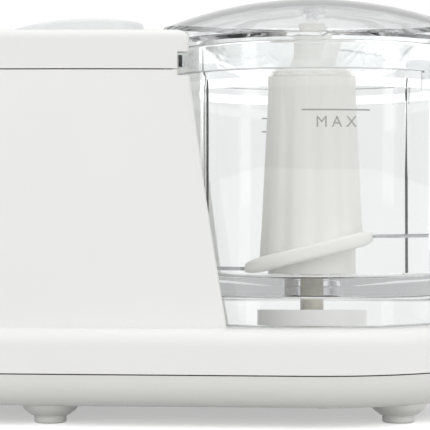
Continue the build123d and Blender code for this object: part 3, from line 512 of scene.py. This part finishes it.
bowl_low, bowl_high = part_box("bowl")
bowl_x = (bowl_low[0] + bowl_high[0]) / 2
bowl_seat, bowl_rim = bowl_low[2] / MM, bowl_high[2] / MM
bowl_outer = (bowl_high[0] - bowl_low[0]) / 2 / MM
bowl_wall, bowl_floor_thickness, bowl_skirt = 2.2, 3.2, 9.6
rim_step, step_drop, step_blend = 0.4, 12.8, 1.5
rim_round, skirt_round, floor_round, post_foot_round, post_top_round = 0.8, 0.6, 4.0, 1.2, 0.9
post_outer, post_height, post_bore = 10.0, 40.0, 7.05
rib_height, rib_half_width, rib_drop, rib_blend, rib_runout = 0.9, 0.6, 9.0, 0.6, 0.8
rib_angles = [math.radians(angle) for angle in (40, 140, 220, 320)]
floor_low = bowl_seat + bowl_skirt
floor_high = floor_low + bowl_floor_thickness
bowl_inner = bowl_outer - bowl_wall
skirt_outer = bowl_outer - rim_step


def ribbed(radius, height, angle):
    """Draw the wall's inner face in along each rib, up to a short way under the rim."""
    on_wall = abs(radius / MM - bowl_inner) <= 0.05
    if not on_wall or not floor_high * MM < height < (bowl_rim - rib_drop) * MM:
        return radius, height
    away = min(abs((angle - rib + math.pi) % math.tau - math.pi) for rib in rib_angles) * bowl_inner
    share = min(1.0, max(0.0, (rib_half_width + rib_blend / 2 - away) / rib_blend))
    return radius - share * rib_height * MM, height


rim_step_height, rib_top, post_top = bowl_rim - step_drop, bowl_rim - rib_drop, floor_high + post_height
bowl_corners = [
    (post_bore, floor_low, 0.3), (skirt_outer - bowl_wall, floor_low, 1.0),
    (skirt_outer - bowl_wall, bowl_seat, skirt_round), (skirt_outer, bowl_seat, skirt_round),
    (skirt_outer, floor_low, 0.0), (bowl_outer, floor_high, 0.0),
    (bowl_outer, rim_step_height - step_blend, rim_round),
    (skirt_outer, rim_step_height + step_blend, rim_round),
    (skirt_outer, bowl_rim, rim_round), (bowl_inner, bowl_rim, rim_round),
    (bowl_inner, rib_top, 0.0), (bowl_inner, rib_top - rib_runout, 0.0),
    (bowl_inner, floor_high + floor_round + 0.1, 0.0), (bowl_inner, floor_high, floor_round),
    (post_outer, floor_high, post_foot_round), (post_outer, post_top, post_top_round),
    (post_bore, post_top, 0.5),
]
bowl_sides, rib_steps = 160, 6
fan_steps = range(-rib_steps, rib_steps + 1)
rib_fan = [rib + step * rib_blend / bowl_inner / 2 for rib in rib_angles for step in fan_steps]
even_fan = [step * math.tau / bowl_sides for step in range(bowl_sides)]
spare = 0.6 * math.tau / bowl_sides
clear_fan = [angle for angle in even_fan if min(abs(angle - near) for near in rib_fan) > spare]
bowl_turn = sorted(clear_fan + rib_fan)
clear_san = finish("clear_san", clear_surface, clear_depth)
bowl_vertices, bowl_faces = spun(rounded(bowl_corners), bowl_x, bowl_turn, ribbed)
clear_bowl = closed_mesh("clear_bowl", bowl_vertices, bowl_faces, clear_san)
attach(clear_bowl, "bowl")
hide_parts("bowl")

# Fill mark: a line with MAX under it on the bowl's front, and two short level ticks on its back.
# Grey ink, pad printed on the wall, so it is thin and matt.
ink = finish("grey_pad_print_ink", moulded("#A9A9A8", 0.6, 0.3, 0.01, mottle=0.1, ior=1.5))
ink_lift, ink_depth = 0.03, 0.12


def wrapped(name, flat, centre_angle):
    """Bend flat work, in millimetres with x along the wall and z up, round the outside of the bowl."""
    points, faces = flat
    vertices = []
    for along, depth, height in points:
        angle = centre_angle + along / bowl_outer
        radius = (bowl_outer + ink_lift + depth) * MM
        vertices.append((bowl_x + radius * math.cos(angle), radius * math.sin(angle), height * MM))
    return closed_mesh(name, vertices, faces, ink)


def bar(left, right, bottom, thickness, steps=16):
    """Flat bar between two places along the wall, from a height up."""
    top = bottom + thickness
    points = []
    for step in range(steps + 1):
        along = left + (right - left) * step / steps
        points += [(along, 0, bottom), (along, ink_depth, bottom), (along, ink_depth, top), (along, 0, top)]
    return points, tube_faces(steps + 1, 4)


front_angle, back_angle = math.radians(-90), math.radians(90)
fill_left, fill_right, fill_height, fill_thickness = -6.0, 16.0, 100.3, 0.5
tick_left, tick_right, tick_heights, tick_thickness = 14.5, 17.0, (98.4, 103.1), 0.45
marks = [wrapped("fill_line", bar(fill_left, fill_right, fill_height, fill_thickness), front_angle)]
for number, height in enumerate(tick_heights):
    tick = bar(tick_left, tick_right, height, tick_thickness)
    marks.append(wrapped(f"level_tick_{number + 1}", tick, back_angle))
letters = bpy.data.curves.new("fill_letters", "FONT")
letters.body = "MAX"
letters.size = 5.0
letters.space_character = 1.5
letters.extrude = ink_depth / 2
letters.align_x = "CENTER"
letter_holder = bpy.data.objects.new("fill_letters_flat", letters)
bpy.context.scene.collection.objects.link(letter_holder)
flat_letters = evaluated(letter_holder)
bpy.data.objects.remove(letter_holder)
letter_drop = 5.2
letter_middle, letter_foot = (fill_left + fill_right) / 2, fill_height - letter_drop
letter_points = [(point.co.x + letter_middle, point.co.z + ink_depth / 2, point.co.y + letter_foot)
                 for point in flat_letters.vertices]
letter_faces = [tuple(face.vertices) for face in flat_letters.polygons]
marks.append(wrapped("fill_letters", (letter_points, letter_faces), front_angle))
for mark in marks:
    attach(mark, "bowl")

# Lid: a clear base with a level rim, a dish round the blade's neck and a locking tab, and a domed top that
# is welded to it. Both, and the bearing pin in the middle, are moulded in the same clear plastic as the bowl.


def merged_copy(name, node):
    """Copy of a CAD node's mesh with its loose triangles joined up."""
    copy = mesh_piece(name, [], [], clear_san)
    shell = bmesh.new()
    shell.from_mesh(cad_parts[node].data)
    bmesh.ops.remove_doubles(shell, verts=shell.verts, dist=0.001 * MM)
    shell.to_mesh(copy.data)
    shell.free()
    return copy


clear_lid = merged_copy("clear_lid", "lid_base")
crown = merged_copy("lid_crown", "lid_top")
weld = clear_lid.modifiers.new("weld", "BOOLEAN")
weld.operation, weld.solver, weld.object = "UNION", "EXACT", crown
welded = evaluated(clear_lid)
clear_lid.modifiers.remove(weld)
clear_lid.data = welded
bpy.data.objects.remove(crown)
smoothed(welded, 32.0, outwards=False)
finish_node("lid_bearing_pin", clear_san)
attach(clear_lid, "lid")
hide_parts("lid_base", "lid_top")

# Blade hub: a tall column of white polypropylene that drops over the bowl's post. A fluted skirt ends at
# the sloping arm, and a plain sleeve goes on below it to the bowl's floor.
hub_white = finish("moulded_white_polypropylene", moulded("#F1F0EC", 0.34, 0.5, 0.01, ior=1.49))
hub_low, hub_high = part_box("blade_hub")
hub_bottom, neck_top = hub_low[2] / MM, hub_high[2] / MM
socket_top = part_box("hub_drive_socket")[1][2] / MM
hub_foot, hub_top, hub_sleeve, hub_column, hub_bore = 18.2, 14.7, 14.8, 68.7, 12.0
skirt_steps, hub_sides, skirt_cut_height, skirt_wall, sleeve_drop, cap_step = 24, 240, 4.0, 1.0, 4.0, 1.2
flute_count, flute_depth, neck_radius, neck_shoulder = 10, 0.8, 5.0, 2.5
arm_left, arm_right, arm_thickness, arm_width = 25.0, 21.5, 5.0, 5.0
arm_low, arm_high = hub_bottom + 2.7, hub_bottom + 13.5
arm_fall = (arm_high - arm_low) / (arm_left + arm_right)
column_top = hub_bottom + hub_column


def arm_height(x):
    """Height of the arm's middle at a distance x from the hub's axis, in millimetres."""
    return arm_low + (x + arm_left) * arm_fall


def fluted(radius, height, angle):
    """Cut flutes in the skirt's outside and slope its lower edge along the arm."""
    climb = (height / MM - hub_bottom) / hub_column
    full = hub_foot + (hub_top - hub_foot) * climb
    if abs(radius / MM - hub_foot) < 1.0:
        radius = (full - flute_depth * (0.5 - 0.5 * math.cos(flute_count * angle)) ** 2) * MM
    if height < (hub_bottom + skirt_cut_height) * MM:
        height = arm_height(radius / MM * math.cos(angle)) * MM
    return radius, height


skirt_levels = [hub_bottom + hub_column * step / skirt_steps for step in range(6, skirt_steps)]
skirt_bore = hub_sleeve - skirt_wall
skirt_corners = [
    (hub_foot, hub_bottom, 0.0), *[(hub_foot, level, 0.0) for level in skirt_levels],
    (hub_foot, column_top - 0.7, 0.0), (hub_top - 1.4, column_top, 0.0),
    (skirt_bore, column_top, 0.0), (skirt_bore, hub_bottom + skirt_wall, 0.0),
]
hub_turn = [step * math.tau / hub_sides for step in range(hub_sides)]
column = [spun(rounded(skirt_corners), bowl_x, hub_turn, fluted)]
sleeve_top, cap_radius = column_top - sleeve_drop, hub_top - cap_step
sleeve_corners = [
    (hub_bore, hub_bottom, 0.5), (hub_sleeve, hub_bottom, 0.7),
    (hub_sleeve, sleeve_top, 0.0), (hub_bore, sleeve_top, 0.0),
]
column.append(spun(rounded(sleeve_corners), bowl_x, hub_turn))
neck_corners = [
    (0.0, socket_top, 0.0), (cap_radius, socket_top, 0.0), (cap_radius, column_top, 0.6),
    (neck_radius, column_top + neck_shoulder, 2.0), (neck_radius, neck_top, 1.4), (0.0, neck_top, 0.0),
]
column.append(spun(rounded(neck_corners), bowl_x, hub_turn))
arm_bow, arm_steps, arm_round, arm_squareness, arm_sunk = 36.0, 40, 20, 0.55, 1.5
arm_front = hub_foot + arm_width - arm_sunk
arm_points = []
for step in range(arm_steps + 1):
    share = step / arm_steps
    along = -arm_left + (arm_left + arm_right) * share
    swell = max(0.001, 1 - abs(2 * share - 1) ** 10) ** 0.5
    lean = math.asin(along / arm_bow)
    for spoke in range(arm_round):
        turn = spoke * math.tau / arm_round
        out = math.copysign(abs(math.cos(turn)) ** arm_squareness, math.cos(turn)) * swell * arm_width / 2
        up = math.copysign(abs(math.sin(turn)) ** arm_squareness, math.sin(turn)) * swell * arm_thickness / 2
        reach = arm_bow - arm_width / 2 + out
        x = bowl_x + reach * math.sin(lean) * MM
        y = (arm_bow - arm_front - reach * math.cos(lean)) * MM
        arm_points.append((x, y, (arm_height(along) + up) * MM))
column.append((arm_points, tube_faces(arm_steps + 1, arm_round)))


def gathered(shells):
    """Several vertex and face lists as one."""
    vertices, faces = [], []
    for points, sides in shells:
        faces += [tuple(spot + len(vertices) for spot in side) for side in sides]
        vertices += points
    return vertices, faces


fluted_hub = closed_mesh("fluted_blade_hub", *gathered(column), hub_white)
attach(fluted_hub, "blade")
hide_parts("blade_hub")

# Blades: two sickle blades of stainless steel strip, set in the hub. The flats are rolled bright and the
# leading edge is ground to a bevel.
blade_steel = finish("ground_stainless_steel", metal("#C9CBCD", 0.22, 0.25))
blade_thickness, bevel_share, edge_thickness, least_width = 1.2, 0.34, 0.12, 0.05
blade_root, blade_tip, blade_steps = hub_foot - 2.0, 43.5, 28
edge_start, edge_belly, edge_sweep = -6.0, 10.0, 9.0
spine_start, spine_hollow, spine_taper = 3.5, 4.0, 0.5
lower_angle, upper_angle = math.radians(196.0), math.radians(-22.0)


def sickle(height, turn):
    """One blade: its back, the top of its bevel and its edge, from root to tip."""
    edge_high, edge_low = (blade_thickness + edge_thickness) / 2, (blade_thickness - edge_thickness) / 2
    vertices = []
    for step in range(blade_steps + 1):
        share = step / blade_steps
        along = blade_root + (blade_tip - blade_root) * share
        edge = edge_start - edge_belly * share * (1 - share) + edge_sweep * share ** 2
        spine = spine_start - spine_hollow * share * (1 - share) - spine_taper * share
        spine = max(spine, edge + least_width)
        ridge = edge + (spine - edge) * bevel_share
        section = [(spine, blade_thickness), (ridge, blade_thickness), (edge, edge_high),
                   (edge, edge_low), (ridge, 0.0), (spine, 0.0)]
        for across, up in section:
            x = along * math.cos(turn) - across * math.sin(turn)
            y = along * math.sin(turn) + across * math.cos(turn)
            vertices.append((bowl_x + x * MM, y * MM, (height + up) * MM))
    return vertices, tube_faces(blade_steps + 1, len(section))


for node, turn in (("lower_blade", lower_angle), ("upper_blade", upper_angle)):
    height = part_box(node)[0][2] / MM
    bevelled = closed_mesh(f"bevelled_{node}", *sickle(height, turn), blade_steel, flat_angle=12.0)
    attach(bevelled, "blade")
    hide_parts(node)
